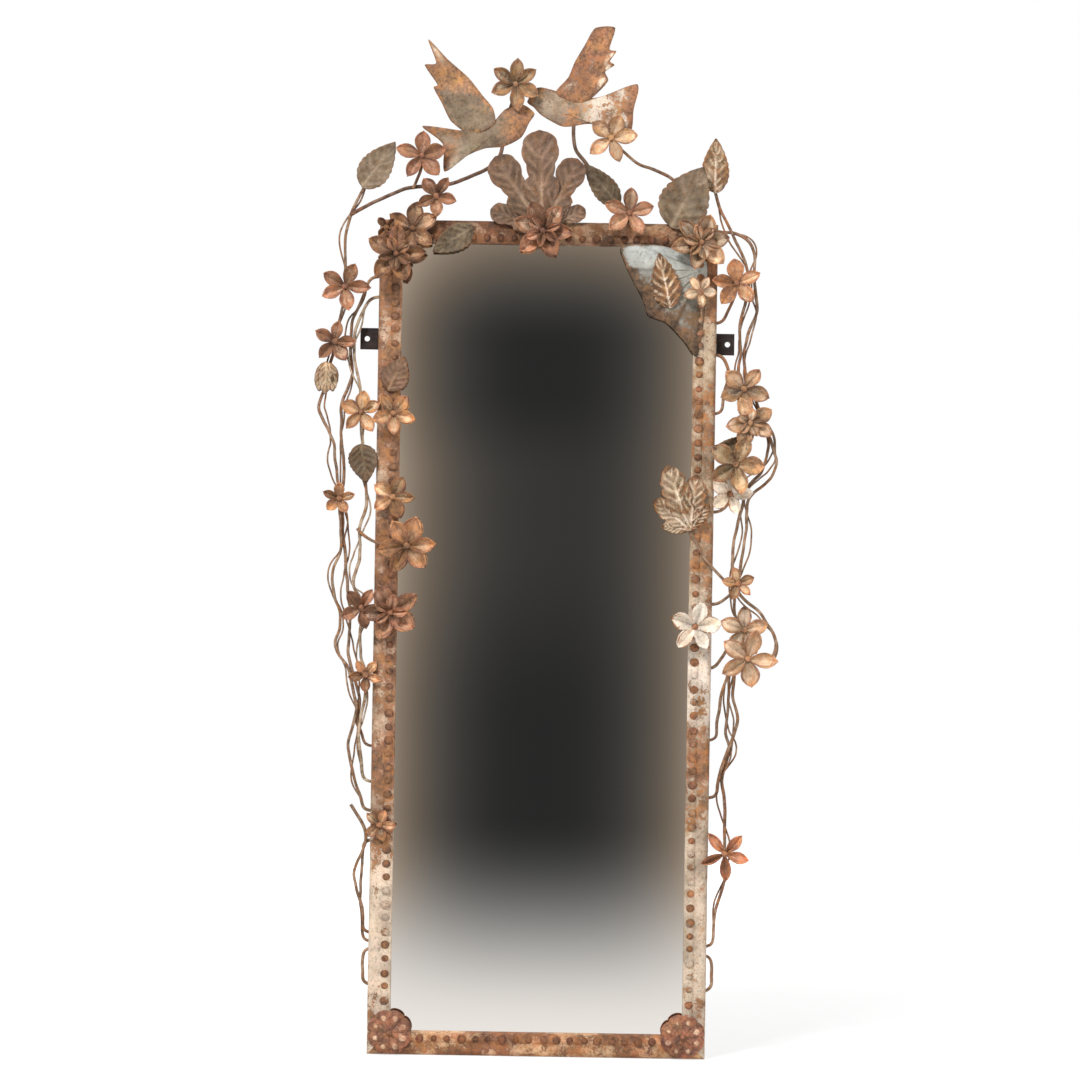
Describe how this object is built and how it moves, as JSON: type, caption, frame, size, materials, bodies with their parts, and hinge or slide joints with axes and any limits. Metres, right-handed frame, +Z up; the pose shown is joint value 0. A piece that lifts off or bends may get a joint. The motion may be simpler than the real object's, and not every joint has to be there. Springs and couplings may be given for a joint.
{
  "type": "wall mirror",
  "caption": "Tall wall mirror in a pressed iron frame with a bead row, climbed by wire vines with sheet-iron flowers and leaves and crowned by a pair of doves.",
  "frame": {"origin": "on the wall plane, midway between the two hanging holes", "axes": "+Z up, +X to the viewer's right, -Y out of the wall towards the viewer"},
  "size_m": [0.6101, 0.0581, 1.341],
  "materials": {
    "moulding": "worn cream paint over rusted pressed iron",
    "rusty_sheet": "coppery rust with traces of cream paint",
    "pale_sheet": "flaking pale paint over rust",
    "leaf": "worn grey-green paint over rust",
    "dove": "worn taupe paint over rust",
    "vine": "matt brown rust with paint flakes",
    "tab": "dark iron",
    "mirror": "silvered flat glass",
    "board": "plain brown hardboard",
    "clip": "bent steel strip"
  },
  "bodies": {
    "root": {"backing_board": "board", "backing_clips": "clip", "bottom_rail": "moulding", "corner_rosettes": "rusty_sheet", "crest_branch_left": "vine", "crest_branch_right": "vine", "crest_tendrils": "vine", "dove_left_body": "dove", "dove_left_wing": "dove", "dove_right_body": "dove", "dove_right_wing": "dove", "flower_crest_centre": "rusty_sheet", "flower_crest_doves": "rusty_sheet", "flower_crest_low": "rusty_sheet", "flower_crest_right": "rusty_sheet", "flower_left_1": "rusty_sheet", "flower_left_2": "rusty_sheet", "flower_left_3": "rusty_sheet", "flower_left_6": "rusty_sheet", "flower_left_8": "rusty_sheet", "flower_left_9": "rusty_sheet", "flower_right_1": "rusty_sheet", "flower_right_3": "rusty_sheet", "flower_right_4": "pale_sheet", "flower_right_5": "rusty_sheet", "flower_right_6": "pale_sheet", "flower_right_8": "rusty_sheet", "flowers_corner_left": "rusty_sheet", "flowers_corner_right": "rusty_sheet", "flowers_crest_left": "rusty_sheet", "flowers_left_4": "rusty_sheet", "flowers_left_5": "rusty_sheet", "flowers_left_7": "rusty_sheet", "flowers_right_2": "rusty_sheet", "flowers_right_7": "rusty_sheet", "hanging_tab_left": "tab", "hanging_tab_right": "tab", "leaf_corner_pale": "pale_sheet", "leaf_corner_tan": "leaf", "leaf_crest": "leaf", "leaf_crest_dark": "leaf", "leaf_crest_large": "leaf", "leaf_mirror_right": "pale_sheet", "leaf_rail_left": "leaf", "leaf_stile_left": "leaf", "leaf_top_left": "leaf", "leaf_top_right": "leaf", "leaf_vine_left": "leaf", "leaf_vine_right": "leaf", "left_stile": "moulding", "left_tendrils": "vine", "left_vine_inner": "vine", "left_vine_middle": "vine", "left_vine_outer": "vine", "mirror_glass": "mirror", "right_stile": "moulding", "right_tendrils": "vine", "right_vine_arch": "vine", "right_vine_outer": "vine", "top_rail": "moulding"}
  },
  "joints": []
}
